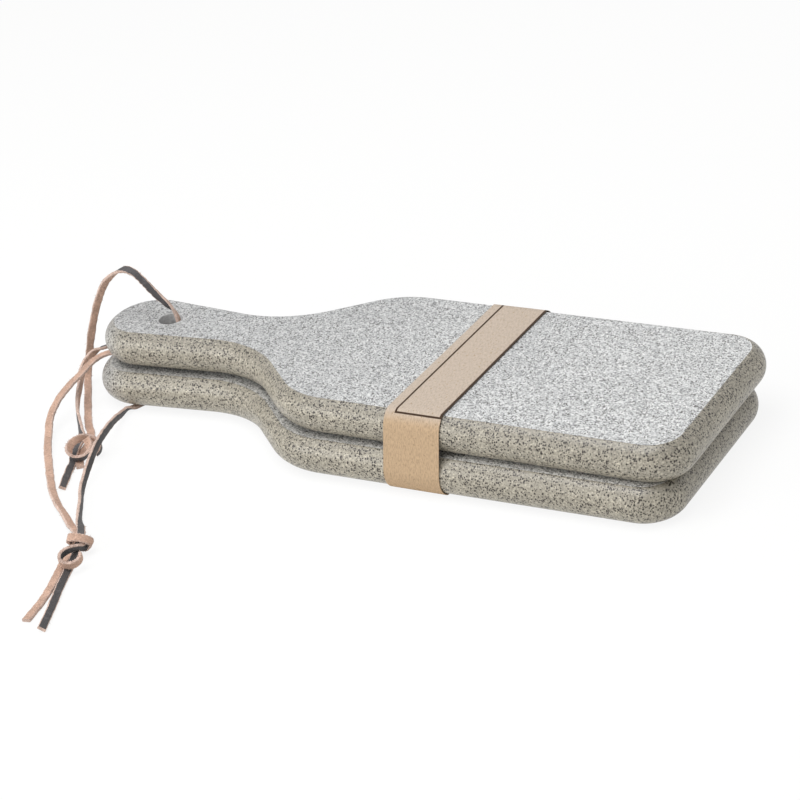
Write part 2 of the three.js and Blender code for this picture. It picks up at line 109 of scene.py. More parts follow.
UPPER_THONG_RETURN = (
    ((-103.2, 2.6, 25.7), (-0.95, -0.3, 0)),
    ((-103.2, 2.6, 21.6), (-0.95, -0.2, 0)),
    ((-103.9, 2.6, 19.3), (-0.8, -0.1, 0.55)),
    ((-106.4, 2.5, 17.48), (-0.1, 0, 1)),
    ((-112, 2.4, 17.42), UP),
    ((-124, 2, 17.53), UP),
    ((-134, 1.6, 17.61), UP),
    ((-139.1, 0.4, 17.7), (-0.1, 0.1, 1)),
    ((-142.2, -2.2, 17.5), (-0.27, 0.07, 0.97)),
    ((-144.6, -5.6, 16.6), (-0.88, 0.45, 0.15)),
    ((-146.4, -9.3, 14), (-0.94, 0.32, -0.12)),
    ((-146.5, -13.4, 10.9), (-0.94, -0.07, -0.33)),
    ((-143.7, -19.3, 8.5), (-0.91, -0.37, -0.19)),
    ((-140.4, -26, 6.5), (-0.88, -0.46, -0.09)),
    ((-135.9, -33.2, 4.6), (-0.79, -0.61, 0.08)),
    ((-129.7, -40.6, 3.2), (-0.71, -0.63, 0.31)),
    ((-125.2, -46, 2.8), (-0.62, -0.54, 0.55)),
    ((-122, -50, 2.6), (-0.4, -0.2, 0.9)),
    ((-120, -56.2, 2.3), (-0.1, 0, 1)),
    ((-117.7, -61.9, 2.1), UP),
    ((-115.2, -66.4, 1.1), UP),
    ((-113.3, -71, 1.3), (0.4, 0.22, 0.88)),
    ((-107, -84.7, 1.3), (0.4, 0.22, 0.88)),
)
LOWER_THONG_TOP_RUN = (
    ((-111, -2.6, 9.4), (-1, 0, 0)),
    ((-111.1, -2.6, 14.2), (-1, 0, 0)),
    ((-111.9, -2.6, 16.7), (-0.8, 0, -0.6)),
    ((-114.2, -2.6, 17.44), DOWN),
    ((-118, -2.7, 17.48), DOWN),
    ((-127, -3, 17.55), DOWN),
    ((-132.6, -4.1, 17.6), DOWN),
    ((-136.6, -5.9, 17.6), DOWN),
    ((-139.2, -9.9, 17.1), DOWN),
    ((-140.1, -15.1, 16.4), (0, 0.1, -1)),
    ((-140.2, -21, 15.2), (0.1, 0.2, -1)),
    ((-141.4, -28.6, 13.3), (0, 0.3, -0.9)),
    ((-142.7, -36, 10), (0, 0.4, -0.9)),
    ((-141.5, -43.9, 6.6), (0, 0.4, -0.9)),
    ((-137.8, -51.2, 4), (-0.1, 0.3, -0.9)),
    ((-131.4, -61, 2), DOWN),
    ((-121.9, -73.3, 0.8), DOWN),
    ((-110.8, -86.4, 1.1), (-0.27, -0.24, -0.93)),
    ((-101, -96, 1.45), (-0.38, -0.42, -0.83)),
    ((-92.9, -102.3, 1.45), (-0.31, -0.43, -0.85)),
    ((-85.8, -108.3, 1.7), (-0.15, -0.4, -0.91)),
    ((-78.1, -114.2, 3.6), DOWN),
    ((-74.8, -117.9, 5), (-0.1, 0.2, -1)),
    ((-73, -121.1, 3.8), (-0.3, 0.45, -0.85)),
    ((-73.2, -124.6, 1.5), (-0.2, 0.4, -0.9)),
    ((-73.3, -128.8, 0.8), DOWN),
    ((-71.6, -134.4, 0.8), DOWN),
    ((-67.9, -144.3, 0.8), DOWN),
    ((-64.7, -155.1, 0.8), DOWN),
    ((-62.4, -168, 0.8), DOWN),
)
LOWER_THONG_UNDER_RUN = (
    ((-111, -2.6, 9.1), (-1, 0, 0)),
    ((-110.7, -2.9, 5.4), (-0.4, 0.9, 0)),
    ((-110.8, -3.5, 2.8), (0.5, 0.85, -0.2)),
    ((-111.6, -4.9, 1.15), (0.3, 0.5, -0.8)),
    ((-113, -7.4, 0.8), DOWN),
    ((-116.2, -12.9, 0.8), DOWN),
    ((-118.1, -17.6, 0.8), DOWN),
)
LOWER_THONG_FRONT_RUN = (
    ((-118.22, -17.9, 0.8), DOWN),
    ((-119, -20, 1.25), (0.17, -0.24, -0.95)),
    ((-119, -21.7, 1.7), (0.66, -0.19, -0.72)),
    ((-118.9, -23.6, 2.1), (0.9, 0.09, -0.44)),
    ((-117.9, -27.5, 2.7), (0.94, 0.23, -0.28)),
    ((-115.1, -35.8, 4.8), (0.94, 0.35, -0.09)),
    ((-110, -47.8, 7.6), (0.9, 0.3, 0.2)),
    ((-105.3, -58.7, 9.4), (0.95, 0.2, 0.2)),
    ((-102.2, -68, 8.6), (0.95, 0.1, 0.2)),
    ((-99.8, -77.5, 5), (0.95, 0.2, 0.2)),
    ((-96.9, -85.4, 2.3), (0.9, 0.4, 0.2)),
    ((-91.9, -93.2, 1.75), (0.85, 0.5, 0.1)),
    ((-86.6, -101.4, 2.1), (0.8, 0.5, 0.2)),
    ((-82.2, -107, 3.4), (0.7, 0.45, 0.5)),
    ((-77.4, -112.4, 5.4), (0.5, 0.3, 0.8)),
    ((-72.9, -117.4, 7.3), (0.2, -0.1, 0.95)),
    ((-71, -121, 5.6), (0.3, -0.5, 0.8)),
    ((-71, -124.2, 3.3), (0.2, -0.5, 0.85)),
    ((-69.5, -128.4, 1.7), (0.1, -0.2, 1)),
    ((-67.6, -134.6, 1.3), (0.35, 0.1, 0.9)),
    ((-64, -144.4, 1.4), (0.5, 0.28, 0.82)),
    ((-58.6, -156.8, 1.4), (0.5, 0.28, 0.82)),
    ((-52.6, -171.7, 1.4), (0.5, 0.28, 0.82)),
)

# Knots: the strap's turns go over from the way the first one lies to the way the last one lies. Each has
# its centre and its axis, then half its width and height, and how far the strap leans and rolls, in degrees
UPPER_KNOT = {
    "first": ((-112.4, -57.2, 3.9), (0.33, -0.52, 0.79), (4, 4, 0, 0)),
    "last": ((-113.8, -62.6, 6.6), (0.37, -0.58, 0.73), (4.3, 4.8, 50, 66)),
    "passing": (0.15, 0.6),
    "turn": (-60, 400),
    "grain_side": 1,
    "steps": 34,
}
LOWER_KNOT = {
    "first": ((-71.5, -120.9, 4.6), (-0.13, 0.77, 0.64), (4.4, 3.8, 0, 0)),
    "last": ((-67.6, -132.5, 4.9), (0.15, -0.23, 0.96), (3.9, 3.9, 0, 0)),
    "passing": (0.37, 0.6),
    "turn": (110, 730),
    "grain_side": -1,
    "steps": 41,
}
KNOT_SIDEWAYS = (0.84, 0.54, 0)

# Straps: stations between two route points, where across the strap its ragged edge starts, how far the
# corner points are set in, and the angle up to which it is smooth
ROUTE_STEPS = 6
RAGGED_FROM = 0.3
CORNER_SET_IN = 0.3
STRAP_SMOOTH = 50

# Stray fibres: the share of stations with one, how far it sways and tilts, its least length as a share of
# the longest, how far from the middle of the leather it is rooted, and the faces of its spike
FIBRE_SHARE = 0.5
FIBRE_SWAY = 1.2
FIBRE_TILT = 0.6
FIBRE_LEAST = 0.3
FIBRE_ROOT = 0.3
SPIKE_FACES = ((0, 2, 1), (0, 1, 3), (1, 2, 3), (2, 0, 3))

# Boards: how finely corners, bullnose and hole are divided, the angles of the softened lines and of the
# smooth faces in degrees, how level a honed face is, and which points count as one
CORNER_STEP = 3
LEAST_CORNER_STEPS = 12
BULLNOSE_STEPS = 14
HOLE_SIDES = 64
ARRIS_FROM = 22
BOARD_SMOOTH = 20
HONED_FROM = 0.985
SAME_POINT = 1e-4
MIRROR_GAP = 1e-6

# Paper: rows across the strip, steps round each bullnose, length of the flat steps in metres, smoothing
# angle, and how many units of its flat map make a metre
PAPER_ROWS = 12
SWEEP_STEPS = 16
FLAT_STEP = 0.003
PAPER_SMOOTH = 35
PAPER_UNIT = 10

# The printed border, in units of the flat map: how far it runs past the flat top at the back and the
# front, how far in it lies on the handle's and the blade's side, and where the painted warm light on the
# paper's front sets in
RULE_PAST_BACK = 0.065
RULE_PAST_FRONT = 0.053
RULE_IN_HANDLE_SIDE = 0.042
RULE_IN_BLADE_SIDE = 0.004
RULE_SOFTNESS = 0.15
FRONT_BOUNCE_SPAN = (-0.02, 0.05)


# Settings that a user would change


def length_setting(name, description, millimetres):
    return bpy.props.FloatProperty(
        name=name, description=description, default=millimetres * MM, min=0.0, unit="LENGTH", precision=5
    )


def colour_setting(name, description, code):
    return bpy.props.FloatVectorProperty(
        name=name, description=description, default=linear(code), subtype="COLOR", size=3, min=0, max=1
    )


def linear(code):
    """A hex sRGB colour as linear red, green and blue."""
    channels = [int(code[start:start + 2], 16) / 255 for start in (0, 2, 4)]
    return tuple(c / 12.92 if c <= 0.04045 else ((c + 0.055) / 1.055) ** 2.4 for c in channels)


class BoardSettings(bpy.types.PropertyGroup):
    length: length_setting("Length", "Board from handle end to blade end", 276)
    thickness: length_setting("Thickness", "Slab between its two honed faces", 15)
    blade_width: length_setting("Blade width", "Width across the blade", 98)
    blade_corner: length_setting("Blade corner", "Radius of the blade's end corners", 16.5)
    shoulder_place: length_setting("Shoulder place", "From the handle end to the shoulder", 114)
    shoulder_radius: length_setting("Shoulder radius", "Rounding where the blade starts", 35.5)
    neck_width: length_setting("Neck width", "Width at the neck", 30)
    neck_place: length_setting("Neck place", "From the handle end to the neck", 77)
    neck_radius: length_setting("Neck radius", "Hollow at the neck", 42)
    handle_width: length_setting("Handle width", "Width at the handle end", 44)
    handle_end_flat: length_setting("Handle end flat", "Straight bit between the handle's corners", 1.28)
    edge_radius: length_setting("Edge radius", "Radius of the bullnose", 8.25)
    hole_diameter: length_setting("Hole diameter", "Hanging hole", 10)
    hole_place: length_setting("Hole place", "From the handle end to the hole", 30)
    arris: length_setting("Arris", "Softened line between face and bullnose", 0.3)
    face_colour: colour_setting("Face colour", "Ground of the honed faces", "CFD0D0")
    face_shade: colour_setting("Face shade", "Darker crystals of the honed faces", "969798")
    face_grain: colour_setting("Face grain", "Mica grains in the honed faces", "5F5D5B")
    pale_grain: colour_setting("Pale grain", "White crystals in the honed faces", "E6E6E5")
    edge_colour: colour_setting("Edge colour", "Ground of the polished edge", "B8B1A1")
    dark_grain: colour_setting("Dark grain", "Mica flecks in the polished edge", "2A211B")


class ThongSettings(bpy.types.PropertyGroup):
    width: length_setting("Width", "Strap from edge to edge", 3.2)
    thickness: length_setting("Thickness", "Leather thickness", 1.3)
    edge_round: length_setting("Edge rounding", "Rounding of the cut edges", 0.3)
    ragged: length_setting("Ragged edge", "How far the cut edge wanders", 0.14)
    fray: length_setting("Fray", "Longest stray fibre on a cut edge", 1.5)
    fibre: length_setting("Fibre", "Thickness of a stray fibre at its root", 0.28)
    grain_colour: colour_setting("Grain side", "Dyed grain side", "474445")
    flesh_colour: colour_setting("Flesh side", "Undyed flesh side", "C6A592")
    edge_colour: colour_setting("Cut edge", "Raw fibres of the cut edge", "CEB5A8")


class BandSettings(bpy.types.PropertyGroup):
    width: length_setting("Width", "Width of the strip", 23.5)
    place: length_setting("Place", "From the lower board's handle end to the band's middle", 172)
    thickness: length_setting("Paper thickness", "Card thickness", 0.35)
    clearance: length_setting("Clearance", "Slack between paper and stone", 0.3)
    rule_width: length_setting("Rule width", "Printed line", 0.85)
    paper_colour: colour_setting("Paper", "Kraft paper on the flat", "C0B1A2")
    # Painted light: warm bounce light on the paper's front, painted into its colour
    front_bounce_colour: colour_setting("Paper under painted front light", "Warm light painted on the paper over the front edge", "BEA384")
    fibre_colour: colour_setting("Fibres", "Darker fibres in the paper", "9C8668")
    rule_colour: colour_setting("Rule", "Printed border line", "3B2A1D")


class StageSettings(bpy.types.PropertyGroup):
    floor_colour: colour_setting("Floor", "Pale floor", "F4F4F2")
    key_power: bpy.props.FloatProperty(
        name="Key light", description="Power of the key light", default=11.2, min=0
    )
    fill_level: bpy.props.FloatProperty(
        name="Fill", description="Strength of the room light", default=0.37, min=0
    )


# Tools shared by the operators


def select_only(*objects):
    if bpy.context.object and bpy.context.object.mode != "OBJECT":
        bpy.ops.object.mode_set(mode="OBJECT")
    bpy.ops.object.select_all(action="DESELECT")
    for item in objects:
        item.select_set(True)
        bpy.context.view_layer.objects.active = item


def apply_modifier(piece, kind, **settings):
    select_only(piece)
    modifier = piece.modifiers.new(kind.title(), kind)
    for key, value in settings.items():
        setattr(modifier, key, value)
    bpy.ops.object.modifier_apply(modifier=modifier.name)


def finish_piece(mesh, smooth_angle):
    """Puts a new mesh in the scene, its faces outward and smooth up to that angle in degrees."""
    piece = bpy.data.objects.new(mesh.name, mesh)
    bpy.context.scene.collection.objects.link(piece)
    select_only(piece)
    bpy.ops.object.mode_set(mode="EDIT")
    bpy.ops.mesh.select_all(action="SELECT")
    bpy.ops.mesh.normals_make_consistent(inside=False)
    bpy.ops.object.mode_set(mode="OBJECT")
    bpy.ops.object.shade_smooth_by_angle(angle=math.radians(smooth_angle))
    return piece


def add_node(tree, kind, settings=None, **links):
    """Adds a node. A link's name is the socket, or i and its number. Its value is a number, a colour, an
    output, or another node, of which the first output in use is taken."""
    node = tree.nodes.new(kind)
    for key, value in (settings or {}).items():
        setattr(node, key, value)
    for key, value in links.items():
        numbered = key[0] == "i" and key[1:].isdigit()
        socket = node.inputs[int(key[1:])] if numbered else node.inputs[key.replace("_", " ")]
        if isinstance(value, bpy.types.Node):
            value = next(output for output in value.outputs if output.enabled)
        if isinstance(value, bpy.types.NodeSocket):
            tree.links.new(value, socket)
        elif socket.type == "RGBA":
            socket.default_value = (*value[:3], 1.0)
        else:
            socket.default_value = value
    return node


def new_material(name):
    """An empty material, and add_node for its tree."""
    material = bpy.data.materials.new(name)
    material.use_nodes = True
    material.node_tree.nodes.clear()
    return material, partial(add_node, material.node_tree)


def tinted(colour, share):
    """A colour made lighter or darker by that share."""
    return tuple(min(1.0, channel * share) for channel in colour[:3])


# Materials

NOISE = "ShaderNodeTexNoise"
CELLS = "ShaderNodeTexVoronoi"
STEP = "ShaderNodeMapRange"
MIX = "ShaderNodeMix"
MATHS = "ShaderNodeMath"
SHADER = "ShaderNodeBsdfPrincipled"
OUTPUT = "ShaderNodeOutputMaterial"
BUMP = "ShaderNodeBump"
PLACE = "ShaderNodeTexCoord"
AXES = "ShaderNodeSeparateXYZ"
CHANNELS = "ShaderNodeSeparateColor"
TIMES = {"operation": "MULTIPLY"}
LARGER = {"operation": "MAXIMUM"}
LESS = {"operation": "SUBTRACT"}
AMOUNT = {"operation": "ABSOLUTE"}
SOFT = {"interpolation_type": "SMOOTHSTEP"}
COLOUR = {"data_type": "RGBA"}
MULTIPLY = {"data_type": "RGBA", "blend_type": "MULTIPLY"}

# Where the stone's tone changes, in metres along, across and up the board: the ends of a soft step. The
# spans towards the handle and under the crease carry painted shade
HANDLE_SHADE_SPAN = (-0.16, 0.15)
END_GREYS = (-0.116, -0.132)
FAR_SIDE = (0.0, 0.02)
TOP_OF_ROUND = (0.003, 0.007)
BLADE_END = (0.12, 0.1)
CREASE_SHADE_SPAN = (0.0025, 0.0065)


def honed_face(board, name, painted_light_tint):
    """Fine-grained granite, honed: pale and grey crystals with darker mica between them. It scatters
    light softly and hardly shines. The crystals are finer still and are drawn at 0.5 mm, to show."""
    material, add = new_material(name)
    place = add(PLACE).outputs["Object"]
    crystals = add(CELLS, Vector=place, Scale=1000 / 0.5)
    pick = add(CHANNELS, Color=crystals.outputs["Color"])
    cloud = add(NOISE, Vector=place, Scale=1000 / 40, Detail=3.0)
    along = add(AXES, Vector=place)
    pale = add(STEP, SOFT, Value=pick.outputs[0], From_Min=0.1, From_Max=0.6)
    white = add(STEP, SOFT, Value=pick.outputs[0], From_Min=0.7, From_Max=0.9)
    speck = add(STEP, SOFT, Value=pick.outputs[1], From_Min=0.84, From_Max=0.9)
    tone = add(MIX, COLOUR, i0=pale, i6=board.face_shade, i7=board.face_colour)
    tone = add(MIX, COLOUR, i0=white, i6=tone, i7=board.pale_grain)
    tone = add(MIX, COLOUR, i0=speck, i6=tone, i7=board.face_grain)
    drift = add(STEP, SOFT, Value=cloud, From_Min=0.3, From_Max=0.7, To_Min=0.95)
    tone = add(MIX, MULTIPLY, i0=1.0, i6=tone, i7=drift)
    # Painted shade: the face is darkened towards the handle, where less light falls
    low, high = HANDLE_SHADE_SPAN
    handle = add(STEP, SOFT, Value=along, From_Min=low, From_Max=high, To_Min=0.72)
    tone = add(MIX, MULTIPLY, i0=1.0, i6=tone, i7=handle)
    # Painted light: this tint lightens and warms the lower board's face
    tone = add(MIX, MULTIPLY, i0=1.0, i6=tone, i7=painted_light_tint)
    bump = add(BUMP, Height=crystals, Strength=0.1, Distance=0.0002)
    shader = add(SHADER, Base_Color=tone, Roughness=0.55, IOR=1.54, Normal=bump)
    add(OUTPUT, Surface=shader)
    return material


def painted_light_bore(board):
    """The raw wall of the hanging hole, painted pale as painted light with a mottle of the face's shade and
    pale grain, so that the deep hole doesn't read as black.
    """
    material, add = new_material("Drilled granite bore")
    place = add(PLACE).outputs["Object"]
    bore_mottle = add(NOISE, Vector=place, Scale=1000 / 1.2, Detail=2.0)
    # Painted light: the bore is paler than the shade in the deep hole would leave it
    tone = add(MIX, COLOUR, i0=bore_mottle, i6=board.face_shade, i7=board.pale_grain)
    shader = add(SHADER, Base_Color=tone, Roughness=0.8)
    add(OUTPUT, Surface=shader)
    return material


def polished_edge(board, name, crease_shade_share):
    """The same stone on its ground and polished bullnose: wetter and warmer, so that the dark mica
    stands out as flecks of up to 0.8 mm, and a soft highlight runs along the edge."""
    material, add = new_material(name)
    place = add(PLACE).outputs["Object"]
    crystals = add(NOISE, Vector=place, Scale=1000 / 0.8, Detail=2.0, Roughness=0.6)
    ragged = add(NOISE, Vector=place, Scale=1000 / 0.9, Detail=2.0).outputs["Color"]
    jitter = add("ShaderNodeVectorMath", {"operation": "SCALE"}, Vector=ragged, Scale=0.0008)
    spread = add("ShaderNodeVectorMath", i0=place, i1=jitter)
    mica = add(CELLS, Vector=spread, Scale=1000 / 0.78)
    pick = add(CHANNELS, Color=mica.outputs["Color"])
    cloud = add(NOISE, Vector=place, Scale=1000 / 22, Detail=3.0)
    pale = add(STEP, SOFT, Value=crystals, From_Min=0.32, From_Max=0.68)
    white = add(STEP, SOFT, Value=crystals, From_Min=0.58, From_Max=0.72)
    size = add(MATHS, {"operation": "MULTIPLY_ADD"}, i0=pick, i1=0.46, i2=0.1)
    near = add(MATHS, LESS, i0=mica, i1=size)
    fleck = add(STEP, SOFT, Value=near, From_Min=0.07, From_Max=-0.07)
    ground = board.edge_colour
    tone = add(MIX, COLOUR, i0=pale, i6=tinted(ground, 0.6), i7=ground)
    tone = add(MIX, COLOUR, i0=white, i6=tone, i7=tinted(ground, 1.4))
    # At the handle's end the round is greyer, like the face. On the far side its top is, short of the
    # blade's end
    sides = add(AXES, Vector=place)
    height = add("ShaderNodeAttribute", {"attribute_name": "height"}).outputs["Fac"]
    low, high = END_GREYS
    end = add(STEP, SOFT, Value=sides.outputs[0], From_Min=low, From_Max=high, To_Max=0.65)
    far = 1.0
    for value, (low, high) in (
        (sides.outputs[1], FAR_SIDE),
        (height, TOP_OF_ROUND),
        (sides.outputs[0], BLADE_END),
    ):
        within = add(STEP, SOFT, Value=value, From_Min=low, From_Max=high)
        far = add(MATHS, TIMES, i0=far, i1=within)
    grey = add(MATHS, LARGER, i0=end, i1=far)
    cool = add(MIX, COLOUR, i0=pale, i6=board.face_shade, i7=board.face_colour)
    tone = add(MIX, COLOUR, i0=grey, i6=tone, i7=cool)
    tone = add(MIX, COLOUR, i0=fleck, i6=tone, i7=board.dark_grain)
    drift = add(STEP, SOFT, Value=cloud, From_Min=0.3, From_Max=0.7, To_Min=0.92)
    tone = add(MIX, MULTIPLY, i0=1.0, i6=tone, i7=drift)
    # Painted shade: just under the crease the stone is darkened, less on the lower board than on the upper
    low, high = CREASE_SHADE_SPAN
    crest = add(STEP, SOFT, Value=height, From_Min=low, From_Max=high, To_Min=1.0, To_Max=crease_shade_share)
    tone = add(MIX, MULTIPLY, i0=1.0, i6=tone, i7=crest)
    bump = add(BUMP, Height=crystals, Strength=0.05, Distance=0.0002)
    shader = add(SHADER, Base_Color=tone, Roughness=0.36, IOR=1.54, Normal=bump)
    add(OUTPUT, Surface=shader)
    return material


def leather_grain(thong):
    """Dyed cowhide, grain side out: charcoal, creased into small cells, with a dull sheen."""
    material, add = new_material("Dyed leather grain side")
    place = add(PLACE).outputs["Object"]
    cells = add(CELLS, {"feature": "DISTANCE_TO_EDGE"}, Vector=place, Scale=1000 / 0.7)
    wear = add(NOISE, Vector=place, Scale=1000 / 2.5, Detail=4.0)
    ground = thong.grain_colour
    worn = add(STEP, SOFT, Value=wear, From_Min=0.5, From_Max=0.75)
    crease = add(STEP, SOFT, Value=cells, From_Max=0.12)
    tone = add(MIX, COLOUR, i0=worn, i6=ground, i7=tinted(ground, 1.9))
    tone = add(MIX, COLOUR, i0=crease, i6=tinted(ground, 0.6), i7=tone)
    bump = add(BUMP, Height=cells, Strength=0.35, Distance=0.0001)
    shader = add(SHADER, Base_Color=tone, Roughness=0.62, IOR=1.5, Normal=bump)
    add(OUTPUT, Surface=shader)
    return material


def leather_suede(name, ground):
    """Undyed split leather: short matt fibres, pinkish tan, with no highlight but a soft pile. The pile
    is finer than a pixel and is drawn at just under a millimetre."""
    material, add = new_material(name)
    place = add(PLACE).outputs["Object"]
    pile = add(NOISE, Vector=place, Scale=1000 / 0.8, Detail=3.0, Roughness=0.7)
    patch = add(NOISE, Vector=place, Scale=1000 / 5, Detail=3.0)
    worn = add(STEP, SOFT, Value=patch, From_Min=0.35, From_Max=0.65)
    high = add(STEP, SOFT, Value=pile, From_Min=0.54, From_Max=0.72)
    deep = add(STEP, SOFT, Value=pile, From_Min=0.48, From_Max=0.3)
    tone = add(MIX, COLOUR, i0=worn, i6=tinted(ground, 0.8), i7=ground)
    tone = add(MIX, COLOUR, i0=high, i6=tone, i7=tinted(ground, 1.3))
    tone = add(MIX, COLOUR, i0=deep, i6=tone, i7=tinted(ground, 0.6))
    bump = add(BUMP, Height=pile, Strength=0.6, Distance=0.0002)
    settings = {"Specular_IOR_Level": 0.2, "Sheen_Weight": 0.15, "Roughness": 0.95}
    shader = add(SHADER, Base_Color=tone, Normal=bump, **settings)
    add(OUTPUT, Surface=shader)
    return material


def kraft_paper(band, rule_box):
    """Unbleached kraft card with short darker fibres and a thin printed border on its top panel. The UV
    map runs along the girth and across the width in tenths of a metre, so a scale of 100 draws 1 mm."""
    material, add = new_material("Kraft card")
    flat = add("ShaderNodeUVMap").outputs[0]
    sides = add(AXES, Vector=flat)
    along, across = sides.outputs[0], sides.outputs[1]
    stretch = add("ShaderNodeMapping", {"vector_type": "POINT"}, Vector=flat, Scale=(1, 4, 1))
    fibres = add(NOISE, Vector=stretch, Scale=100 / 1.6, Detail=5.0)
    flecks = add(NOISE, Vector=flat, Scale=100 / 0.9, Detail=2.0)
    front = rule_box[0][1]
    low, high = FRONT_BOUNCE_SPAN
    # Painted light: the paper is made warmer where it turns down over the front edge, standing in for warm
    # light bounced onto it
    front_bounce = add(STEP, SOFT, Value=along, From_Min=front + low, From_Max=front + high)
    felt = add(STEP, SOFT, Value=fibres, From_Min=0.4, From_Max=0.66, To_Min=1.03, To_Max=0.8)
    speck = add(STEP, SOFT, Value=flecks, From_Min=0.6, From_Max=0.72)
    tone = add(MIX, COLOUR, i0=front_bounce, i6=band.paper_colour, i7=band.front_bounce_colour)
    tone = add(MIX, MULTIPLY, i0=1.0, i6=tone, i7=felt)
    tone = add(MIX, COLOUR, i0=speck, i6=tone, i7=band.fibre_colour)
    inside = []
    half = band.rule_width * PAPER_UNIT / 2
    outside, within = half * (1 + RULE_SOFTNESS), half * (1 - RULE_SOFTNESS)
    for coordinate, (low, high) in ((along, rule_box[0]), (across, rule_box[1])):
        centre, reach = (low + high) / 2, (high - low) / 2
        away = add(MATHS, LESS, i0=coordinate, i1=centre)
        away = add(MATHS, AMOUNT, i0=away)
        inside.append(add(MATHS, LESS, i0=away, i1=reach))
    edge = add(MATHS, LARGER, i0=inside[0], i1=inside[1])
    edge = add(MATHS, AMOUNT, i0=edge)
    line = add(STEP, SOFT, Value=edge, From_Min=outside, From_Max=within)
    tone = add(MIX, COLOUR, i0=line, i6=tone, i7=band.rule_colour)
    bump = add(BUMP, Height=fibres, Strength=0.12, Distance=0.0002)
    settings = {"Specular_IOR_Level": 0.3, "Roughness": 0.85}
    shader = add(SHADER, Base_Color=tone, Normal=bump, **settings)
    add(OUTPUT, Surface=shader)
    return material


# Thongs


def spline_weights(points, index):
    """The centripetal curve between two route points, as four coefficients for each axis."""
    before = points[index - 1] if index else points[0] * 2 - points[1]
    after = points[index + 2] if index + 2 < len(points) else points[-1] * 2 - points[-2]
    p0, p1, p2, p3 = before, points[index], points[index + 1], after
    d0, d1, d2 = ((b - a).length ** 0.5 for a, b in ((p0, p1), (p1, p2), (p2, p3)))
    leave = ((p1 - p0) / d0 - (p2 - p0) / (d0 + d1) + (p2 - p1) / d1) * d1
    arrive = ((p2 - p1) / d1 - (p3 - p1) / (d1 + d2) + (p3 - p2) / d2) * d1
    return p1, leave, (p2 - p1) * 3 - leave * 2 - arrive, (p1 - p2) * 2 + leave + arrive


def strap_stations(route):
    """Points along a route with their tangent and grain direction, as (place, tangent, grain)."""
    points = [Vector(at) for at, grain in route]
    grains = [Vector(grain).normalized() for at, grain in route]
    stations = []
    for index in range(len(points) - 1):
        c0, c1, c2, c3 = spline_weights(points, index)
        last = index == len(points) - 2
        for step in range(ROUTE_STEPS + (1 if last else 0)):
            t = step / ROUTE_STEPS
            tangent = (c1 + c2 * (2 * t) + c3 * (3 * t * t)).normalized()
            grain = grains[index].lerp(grains[index + 1], t)
            grain = (grain - tangent * grain.dot(tangent)).normalized()
            stations.append((c0 + c1 * t + c2 * (t * t) + c3 * (t ** 3), tangent, grain))
    return stations


def strap_section(thong):
    """The strap's outline as (across, through, side), side 0 for grain, 1 for flesh, 2 for a cut edge.
    A point's side is that of the face from it to the next point."""
    half, deep, rounding = thong.width / 2, thong.thickness / 2, thong.edge_round
    corner = rounding * CORNER_SET_IN
    top = [(half - rounding - step * (half - rounding) / 2, deep, 0) for step in range(4)]
    top.append((-half + rounding, deep, 2))
    left = [
        (-half + corner, deep - corner, 2),
        (-half, deep - rounding, 2),
        (-half, 0.0, 2),
        (-half, -deep + rounding, 2),
        (-half + corner, -deep + corner, 2),
    ]
    half_ring = top + left
    turned = [(-x, -z, 1 if side == 0 else side) for x, z, side in half_ring]
    return half_ring + turned


def stray_fibre(place, tangent, grain, thong, chance):
    """A short fibre on one cut edge, as the four corners of a slim closed spike rooted in the strap."""
    side = chance.choice((-1, 1))
    out = grain.cross(tangent) * side
    sway = tangent * chance.uniform(-FIBRE_SWAY, FIBRE_SWAY)
    tilt = grain * chance.uniform(-FIBRE_TILT, FIBRE_TILT)
    lean = (out + sway + tilt).normalized()
    reach = thong.fray * chance.uniform(FIBRE_LEAST, 1.0)
    root = place + out * (thong.width / 2 - 2 * thong.ragged)
    root += grain * (thong.thickness * chance.uniform(-FIBRE_ROOT, FIBRE_ROOT))
    half = thong.fibre / 2
    tip = root + lean * reach
    tip.z = max(tip.z, half)
    return [root - tangent * half, root + tangent * half, root + grain * half, tip]


def make_strap(name, stations, thong, seed, materials):
    """A closed strap mesh with one ring of points for each station, and ragged cut edges."""
    chance = random.Random(seed)
    section = strap_section(thong)
    count = len(section)
    points, faces, sides = [], [], []
    for place, tangent, grain in stations:
        widthways = grain.cross(tangent)
        wander = {1: chance.uniform(-1, 1), -1: chance.uniform(-1, 1)}
        for across, through, side in section:
            edge = 1 if across > 0 else -1
            ragged = wander[edge] * thong.ragged if abs(across) > thong.width * RAGGED_FROM else 0
            points.append(place * MM + widthways * (across + edge * ragged) + grain * through)
    for ring in range(len(stations) - 1):
        for step in range(count):
            here, there = ring * count + step, ring * count + (step + 1) % count
            faces.append((here, there, there + count, here + count))
            sides.append(section[step][2])
    faces.append(tuple(range(count - 1, -1, -1)))
    faces.append(tuple(range(len(points) - count, len(points))))
    sides += [2, 2]
    for place, tangent, grain in stations[1:-1]:
        if chance.random() < FIBRE_SHARE:
            first = len(points)
            points += stray_fibre(place * MM, tangent, grain, thong, chance)
            faces += [tuple(first + corner for corner in ring) for ring in SPIKE_FACES]
            sides += [2] * len(SPIKE_FACES)
    mesh = bpy.data.meshes.new(name)
    mesh.from_pydata([tuple(point) for point in points], [], faces)
    for material in materials:
        mesh.materials.append(material)
    mesh.polygons.foreach_set("material_index", sides)
    return finish_piece(mesh, STRAP_SMOOTH)


